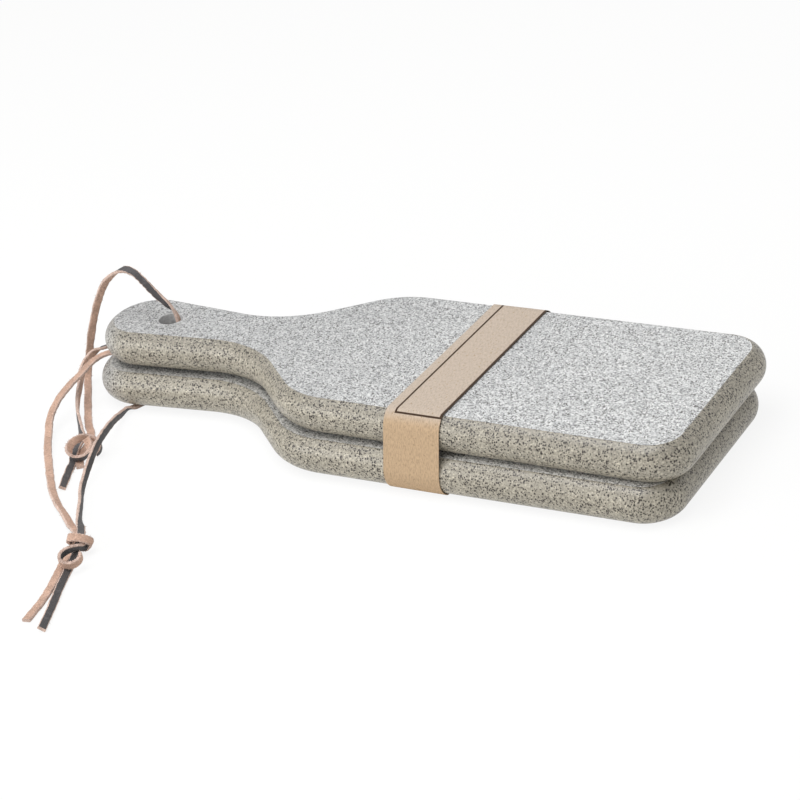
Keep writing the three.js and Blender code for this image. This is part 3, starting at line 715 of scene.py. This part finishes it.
def knot_route(knot):
    """The turns of a knot as route points with their grain direction."""
    route = []
    start, stop = knot["turn"]
    low, high = knot["passing"]
    first, last = knot["first"], knot["last"]
    for step in range(knot["steps"] + 1):
        part = step / knot["steps"]
        share = min(1.0, max(0.0, (part - low) / (high - low)))
        share = share * share * (3 - 2 * share)
        centre = Vector(first[0]).lerp(Vector(last[0]), share)
        axis = Vector(first[1]).lerp(Vector(last[1]), share).normalized()
        wide, tall, lean, roll = (a + (b - a) * share for a, b in zip(first[2], last[2]))
        angle = math.radians(start + (stop - start) * part)
        side = Vector(KNOT_SIDEWAYS)
        side = (side - axis * side.dot(axis)).normalized()
        over = axis.cross(side)
        at = centre + side * (wide * math.cos(angle)) + over * (tall * math.sin(angle))
        outward = side * (math.cos(angle) / wide) + over * (math.sin(angle) / tall)
        lean = math.radians(lean + roll * math.sin(angle))
        outward = outward.normalized() * math.cos(lean) - axis * math.sin(lean)
        route.append((tuple(at), tuple(outward * knot["grain_side"])))
    return route


def thong_materials(thong):
    names = ("Dyed leather grain side", "Raw leather flesh side", "Cut leather edge")
    if names[0] in bpy.data.materials:
        return [bpy.data.materials[name] for name in names]
    flesh = leather_suede(names[1], tuple(thong.flesh_colour))
    return [leather_grain(thong), flesh, leather_suede(names[2], tuple(thong.edge_colour))]


def make_run(name, route, nodes, body, seed):
    """One free stretch of a thong, riding with its board. Returns the piece and the line it follows."""
    thong = bpy.context.scene.thong_settings
    stations = strap_stations(route)
    piece = make_strap(name, stations, thong, seed, thong_materials(thong))
    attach(piece, body)
    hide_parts(*nodes)
    return piece, [tuple(place * MM) for place, tangent, grain in stations]


def make_thong(runs, body, seed):
    """A thong's two free stretches and the turns of its knot, each made as a piece of its own and given as
    (name, route, nodes)."""
    first, second, knot = [make_run(*run, body, seed + index) for index, run in enumerate(runs)]


class BOARDS_OT_make_upper_thong(bpy.types.Operator):
    """The thong of the upper board: an arch over the handle, a return between the boards, a knot"""

    bl_idname = "boards.make_upper_thong"
    bl_label = "Upper thong"

    def execute(self, context):
        arch = ("upper_thong_arch_strap", UPPER_THONG_ARCH, ["upper_thong_arch"])
        back = ("upper_thong_return_strap", UPPER_THONG_RETURN, ["upper_thong_return"])
        knot = ("upper_thong_knot_strap", knot_route(UPPER_KNOT), ["upper_thong_knot"])
        make_thong((arch, back, knot), UPPER, seed=11)
        return {"FINISHED"}


class BOARDS_OT_make_lower_thong(bpy.types.Operator):
    """The thong of the lower board: out between the boards, out from under it, and a knot"""

    bl_idname = "boards.make_lower_thong"
    bl_label = "Lower thong"

    def execute(self, context):
        route = LOWER_THONG_UNDER_RUN[:-1] + LOWER_THONG_FRONT_RUN
        top = ("lower_thong_top_strap", LOWER_THONG_TOP_RUN, ["lower_thong_top_run"])
        front = ("lower_thong_front_strap", route, ["lower_thong_under_run", "lower_thong_front_run"])
        knot = ("lower_thong_knot_strap", knot_route(LOWER_KNOT), ["lower_thong_knot"])
        make_thong((top, front, knot), LOWER, seed=21)
        return {"FINISHED"}


# Boards


def paddle_corners(board):
    """Half of the paddle's corners, from the handle to the blade, as (place, radius)."""
    end = -board.length / 2
    taper = math.atan((board.handle_width - board.neck_width) / 2 / board.neck_place)
    handle_corner = (board.handle_width - board.handle_end_flat) / 2 * math.tan(math.pi / 4 - taper / 2)
    side = [
        (Vector((end, -board.handle_width / 2)), handle_corner),
        (Vector((end + board.neck_place, -board.neck_width / 2)), board.neck_radius),
        (Vector((end + board.shoulder_place, -board.blade_width / 2)), board.shoulder_radius),
        (Vector((-end, -board.blade_width / 2)), board.blade_corner),
    ]
    mirrored = [(Vector((at.x, -at.y)), radius) for at, radius in reversed(side)]
    return side + mirrored


def corner_arcs(corners):
    """Each rounded corner as (centre, first tangent point, turn), counter-clockwise positive."""
    arcs = []
    for index, (at, radius) in enumerate(corners):
        to_before = (corners[index - 1][0] - at).normalized()
        to_after = (corners[(index + 1) % len(corners)][0] - at).normalized()
        half = math.acos(max(-1.0, min(1.0, to_before.dot(to_after)))) / 2
        centre = at + (to_before + to_after).normalized() * (radius / math.sin(half))
        start = at + to_before * (radius / math.tan(half))
        sign = math.copysign(1.0, to_after.x * to_before.y - to_after.y * to_before.x)
        arcs.append((centre, start, sign * (math.pi - 2 * half)))
    return arcs


def draw_paddle(board):
    """Draws the paddle's outline by spinning one point round each corner, and fills it."""
    arcs = corner_arcs(paddle_corners(board))
    bpy.ops.mesh.primitive_plane_add(size=0.01, location=(0, 0, 0))
    bpy.ops.object.mode_set(mode="EDIT")
    bpy.ops.mesh.select_mode(type="VERT")
    bpy.ops.mesh.merge(type="CENTER")
    bpy.ops.transform.translate(value=arcs[0][1].to_3d())
    for index, (centre, start, turn) in enumerate(arcs):
        steps = max(LEAST_CORNER_STEPS, round(abs(turn) / math.radians(CORNER_STEP)))
        bpy.ops.mesh.spin(steps=steps, angle=turn, center=centre.to_3d(), axis=(0, 0, -1))
        finish = centre + Matrix.Rotation(turn, 2) @ (start - centre)
        target = arcs[(index + 1) % len(arcs)][1]
        bpy.ops.mesh.extrude_vertices_move(TRANSFORM_OT_translate={"value": (target - finish).to_3d()})
    bpy.ops.mesh.select_all(action="SELECT")
    bpy.ops.mesh.remove_doubles(threshold=SAME_POINT)
    bpy.ops.mesh.edge_face_add()
    bpy.ops.mesh.normals_make_consistent(inside=False)


def raise_bullnose(board):
    """Insets the outline step by step up the bullnose's arc to the honed face."""
    crest = math.asin(board.thickness / 2 / board.edge_radius)
    angles = [crest * step / BULLNOSE_STEPS for step in range(BULLNOSE_STEPS + 1)]
    for low, high in zip(angles, angles[1:]):
        bpy.ops.mesh.inset(
            thickness=board.edge_radius * (math.cos(low) - math.cos(high)),
            depth=board.edge_radius * (math.sin(high) - math.sin(low)),
            use_even_offset=True,
        )
    bpy.ops.object.mode_set(mode="OBJECT")


def make_board(name, board, node, materials):
    """One paddle: its upper half drawn and raised, mirrored, drilled, softened and laid in place."""
    select_only()
    draw_paddle(board)
    piece = bpy.context.object
    if sum(face.normal.z for face in piece.data.polygons) < 0:
        raise RuntimeError("the outline faces down")
    raise_bullnose(board)
    piece.name = name
    piece.data.name = name
    upright = (False, False, True)
    apply_modifier(piece, "MIRROR", use_axis=upright, use_clip=True, merge_threshold=MIRROR_GAP)
    hole_x = board.hole_place - board.length / 2
    radius, depth = board.hole_diameter / 2, board.thickness * 3
    bpy.ops.mesh.primitive_cylinder_add(
        vertices=HOLE_SIDES, radius=radius, depth=depth, location=(hole_x, 0, 0)
    )
    drill = bpy.context.object
    apply_modifier(piece, "BOOLEAN", object=drill, operation="DIFFERENCE", solver="EXACT")
    select_only(drill)
    bpy.ops.object.delete()
    sharp = {"limit_method": "ANGLE", "angle_limit": math.radians(ARRIS_FROM)}
    apply_modifier(piece, "BEVEL", width=board.arris, segments=3, **sharp)
    for material in materials:
        piece.data.materials.append(material)
    for face in piece.data.polygons:
        in_hole = (face.center.xy - Vector((hole_x, 0))).length < radius + board.arris
        face.material_index = 2 if in_hole else 0 if abs(face.normal.z) > HONED_FROM else 1
    height = piece.data.attributes.new("height", "FLOAT", "POINT")
    height.data.foreach_set("value", [vertex.co.z for vertex in piece.data.vertices])
    select_only(piece)
    bpy.ops.object.shade_smooth_by_angle(angle=math.radians(BOARD_SMOOTH))
    (x, y, z), fall = BOARD_PLACES[node]
    piece.rotation_euler = (0, math.atan(fall), 0)
    lift = Matrix.Rotation(math.atan(fall), 3, "Y") @ Vector((0, 0, board.thickness / 2))
    piece.location = Vector((x, y, z)) * MM + lift
    bpy.ops.object.transform_apply(location=True, rotation=True, scale=True)
    return piece


class BOARDS_OT_make_stone_boards(bpy.types.Operator):
    """Both stone paddles, each with its bullnose and its hanging hole"""

    bl_idname = "boards.make_stone_boards"
    bl_label = "Stone boards"

    def execute(self, context):
        board = context.scene.board_settings
        bore = painted_light_bore(board)
        # Painted light: the lower board's face is made a little lighter and warmer, standing in for light
        # bounced into the strip between the boards, and its crease gets less painted shade
        for node, body, painted_light_tint, crease_shade_share in (
            ("upper_board", UPPER, (1.0, 1.0, 1.0), 0.74),
            ("lower_board", LOWER, (1.06, 1.04, 1.0), 0.84),
        ):
            whose = " of the " + node.replace("_", " ")
            face = honed_face(board, "Honed granite face" + whose, painted_light_tint)
            edge = polished_edge(board, "Polished granite edge" + whose, crease_shade_share)
            piece = make_board(node.replace("_board", "_paddle"), board, node, [face, edge, bore])
            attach(piece, body)
            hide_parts(node)
        return {"FINISHED"}


# Band


def band_outline(board, offset, place):
    """The taut outline round both blades at that offset from the stone, from the middle of the
    underside up the back, as (across, height) points in metres."""
    reach = board.blade_width / 2 - board.edge_radius
    radius = board.edge_radius + offset
    crest = math.asin((board.thickness / 2 + offset) / radius)
    centres = {}
    for node in ("lower_board", "upper_board"):
        (x, y, z), fall = BOARD_PLACES[node]
        middle = z * MM - fall * (place - x * MM) + board.thickness / 2
        centres[node] = [Vector((y * MM + side * reach, middle)) for side in (-1, 1)]
    (front_low, back_low), (front_high, back_high) = centres["lower_board"], centres["upper_board"]
    back, front = back_high - back_low, front_high - front_low
    back_angle = math.atan2(-back.x, back.y)
    front_angle = math.pi - math.atan2(front.x, front.y)
    sweeps = (
        (back_low, -crest, back_angle),
        (back_high, back_angle, crest),
        (front_high, math.pi - crest, front_angle),
        (front_low, front_angle, math.pi + crest),
    )
    corners = []
    for centre, start, stop in sweeps:
        for step in range(SWEEP_STEPS + 1):
            angle = start + (stop - start) * step / SWEEP_STEPS
            corners.append(centre + Vector((math.cos(angle), math.sin(angle))) * radius)
    corners.append(corners[0])
    middle = (corners[0] + corners[-2]) / 2
    corners = [middle] + corners[:-1] + [middle]
    outline = []
    for a, b in zip(corners, corners[1:]):
        pieces = max(1, round((b - a).length / FLAT_STEP))
        outline += [a.lerp(b, step / pieces) for step in range(pieces)]
    return outline


def strip_points(outer, inner, place, fall, width):
    """The strip's points, outside first, in rows from the handle's side that lean with the boards."""
    middle = sum((point.y for point in outer), 0.0) / len(outer)
    points = []
    for outline in (outer, inner):
        for row in range(PAPER_ROWS + 1):
            along = (row / PAPER_ROWS - 0.5) * width
            for point in outline:
                sink = (point.y - middle) * fall
                points.append((place + along + sink, point.x, point.y - along * fall))
    return points


def strip_faces(girth, width):
    """The strip's faces, and the corners of each on the flat paper: both sides, then the cut edges."""
    count = len(girth) - 1
    layer = count * (PAPER_ROWS + 1)
    along = [value * PAPER_UNIT for value in girth]
    across = [width * PAPER_UNIT * row / PAPER_ROWS for row in range(PAPER_ROWS + 1)]
    faces, flats = [], []
    for row in range(PAPER_ROWS):
        here, there = row * count, (row + 1) * count
        v0, v1 = across[row], across[row + 1]
        for index in range(count):
            after = (index + 1) % count
            u0, u1 = along[index], along[index + 1]
            flat = ((u0, v0), (u1, v0), (u1, v1), (u0, v1))
            faces.append((here + index, here + after, there + after, there + index))
            flats.append(flat)
            faces.append(tuple(layer + value for value in reversed(faces[-1])))
            flats.append(tuple(reversed(flat)))
    for row, order in ((0, 1), (PAPER_ROWS, -1)):
        for index in range(count):
            ring = (row * count + (index + 1) % count, row * count + index)
            u0, u1, v = along[index], along[index + 1], across[row]
            faces.append((*ring, layer + ring[1], layer + ring[0])[::order])
            flats.append(((u1, v), (u0, v), (u0, v), (u1, v))[::order])
    return faces, flats


class BOARDS_OT_make_paper_band(bpy.types.Operator):
    """The paper strip round both blades, closed underneath, with a thin printed border on top"""

    bl_idname = "boards.make_paper_band"
    bl_label = "Paper band"

    def execute(self, context):
        board, band = context.scene.board_settings, context.scene.band_settings
        place = BOARD_PLACES["lower_board"][0][0] * MM - board.length / 2 + band.place
        fall = (BOARD_PLACES["lower_board"][1] + BOARD_PLACES["upper_board"][1]) / 2
        outer = band_outline(board, band.clearance + band.thickness, place)
        inner = band_outline(board, band.clearance, place)
        if len(outer) != len(inner):
            raise RuntimeError("the two faces of the paper have different points")
        girth = [0.0]
        for here, there in zip(outer, outer[1:] + outer[:1]):
            girth.append(girth[-1] + (there - here).length)
        faces, flats = strip_faces(girth, band.width)
        mesh = bpy.data.meshes.new("paper_band_strip")
        mesh.from_pydata(strip_points(outer, inner, place, fall, band.width), [], faces)
        flat_map = mesh.uv_layers.new(name="Flat paper")
        flat_map.data.foreach_set("uv", [value for flat in flats for corner in flat for value in corner])
        half = girth[-1] * PAPER_UNIT / 2
        panel = (board.blade_width - 2 * board.edge_radius) * PAPER_UNIT / 2
        rule_box = (
            (half - panel - RULE_PAST_BACK, half + panel + RULE_PAST_FRONT),
            (RULE_IN_HANDLE_SIDE, band.width * PAPER_UNIT - RULE_IN_BLADE_SIDE),
        )
        mesh.materials.append(kraft_paper(band, rule_box))
        piece = finish_piece(mesh, PAPER_SMOOTH)
        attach(piece, BAND)
        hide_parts("paper_band")
        return {"FINISHED"}


# Stage


def seen_directly(add):
    """1 where the eye sees the surface, straight or in a reflection, and 0 where it only sheds light."""
    path = add("ShaderNodeLightPath")
    seen = path.outputs["Is Camera Ray"]
    for ray in ("Is Glossy Ray", "Is Transmission Ray"):
        seen = add(MATHS, LARGER, i0=seen, i1=path.outputs[ray])
    return seen


class BOARDS_OT_make_stage(bpy.types.Operator):
    """Camera, pale floor, a soft key light above, a weaker one at the front left and an even room"""

    bl_idname = "boards.make_stage"
    bl_label = "Stage"

    def execute(self, context):
        scene, stage = context.scene, context.scene.stage_settings
        scene.view_settings.view_transform = "Standard"
        self.add_camera(scene)
        self.add_floor(stage)
        self.add_lights(stage)
        self.light_room(scene, stage)
        return {"FINISHED"}

    def add_camera(self, scene):
        lens = bpy.data.cameras.new("Camera")
        lens.lens = CAMERA_LENS
        lens.sensor_width = SENSOR_WIDTH
        camera = bpy.data.objects.new("Camera", lens)
        scene.collection.objects.link(camera)
        right, up, back = Vector(CAMERA_RIGHT), Vector(CAMERA_UP), -Vector(CAMERA_FORWARD)
        turn = Matrix((right, up, back)).transposed().to_4x4()
        camera.matrix_world = Matrix.Translation(CAMERA_PLACE) @ turn
        scene.camera = camera

    def add_floor(self, stage):
        select_only()
        bpy.ops.mesh.primitive_plane_add(size=FLOOR_SIZE, location=(0, 0, 0))
        floor = bpy.context.object
        floor.name = "floor"
        material, add = new_material("Pale studio floor")
        pale = {"Base_Color": stage.floor_colour, "Roughness": 0.9, "Specular_IOR_Level": 0.0}
        shader = add(SHADER, **pale)
        glow = add("ShaderNodeEmission", Strength=1.0)
        seen = seen_directly(add)
        share = add(MATHS, TIMES, i0=seen, i1=FLOOR_GLOW)
        mix = add("ShaderNodeMixShader", i0=share, i1=shader, i2=glow)
        add(OUTPUT, Surface=mix)
        floor.data.materials.append(material)

    def add_lights(self, stage):
        for name, place, size, share in LIGHTS:
            lamp = bpy.data.lights.new(name, "AREA")
            lamp.energy = stage.key_power * share
            lamp.size = size
            item = bpy.data.objects.new(name, lamp)
            item.location = place
            item.rotation_euler = (-Vector(place)).to_track_quat("-Z", "Y").to_euler()
            bpy.context.scene.collection.objects.link(item)

    def light_room(self, scene, stage):
        world = bpy.data.worlds.new("Even room")
        scene.world = world
        world.use_nodes = True
        world.node_tree.nodes.clear()
        add = partial(add_node, world.node_tree)
        level = add(STEP, Value=seen_directly(add), To_Min=stage.fill_level, To_Max=1.0)
        shader = add("ShaderNodeBackground", Color=(1, 1, 1), Strength=level)
        add("ShaderNodeOutputWorld", Surface=shader)


class BOARDS_PT_panel(bpy.types.Panel):
    """Lists the pieces and their settings in the sidebar"""

    bl_label = "Serving boards"
    bl_idname = "BOARDS_PT_panel"
    bl_space_type = "VIEW_3D"
    bl_region_type = "UI"
    bl_category = "Boards"

    def draw(self, context):
        for operator in OPERATORS:
            self.layout.operator(operator.bl_idname)
        for name in SETTINGS:
            settings = getattr(context.scene, name)
            for key in settings.__annotations__:
                self.layout.prop(settings, key)


SETTINGS = {
    "board_settings": BoardSettings,
    "thong_settings": ThongSettings,
    "band_settings": BandSettings,
    "stage_settings": StageSettings,
}
OPERATORS = (
    BOARDS_OT_make_stage,
    BOARDS_OT_make_upper_thong,
    BOARDS_OT_make_lower_thong,
    BOARDS_OT_make_stone_boards,
    BOARDS_OT_make_paper_band,
)


def register():
    for item in (*SETTINGS.values(), *OPERATORS, BOARDS_PT_panel):
        bpy.utils.register_class(item)
    for name, group in SETTINGS.items():
        setattr(bpy.types.Scene, name, bpy.props.PointerProperty(type=group))


def unregister():
    for name in SETTINGS:
        delattr(bpy.types.Scene, name)
    for item in reversed((*SETTINGS.values(), *OPERATORS, BOARDS_PT_panel)):
        bpy.utils.unregister_class(item)


def main():
    register()
    bpy.ops.boards.make_stage()
    bpy.ops.boards.make_upper_thong()
    bpy.ops.boards.make_lower_thong()
    bpy.ops.boards.make_stone_boards()
    bpy.ops.boards.make_paper_band()


if __name__ == "__main__":
    main()
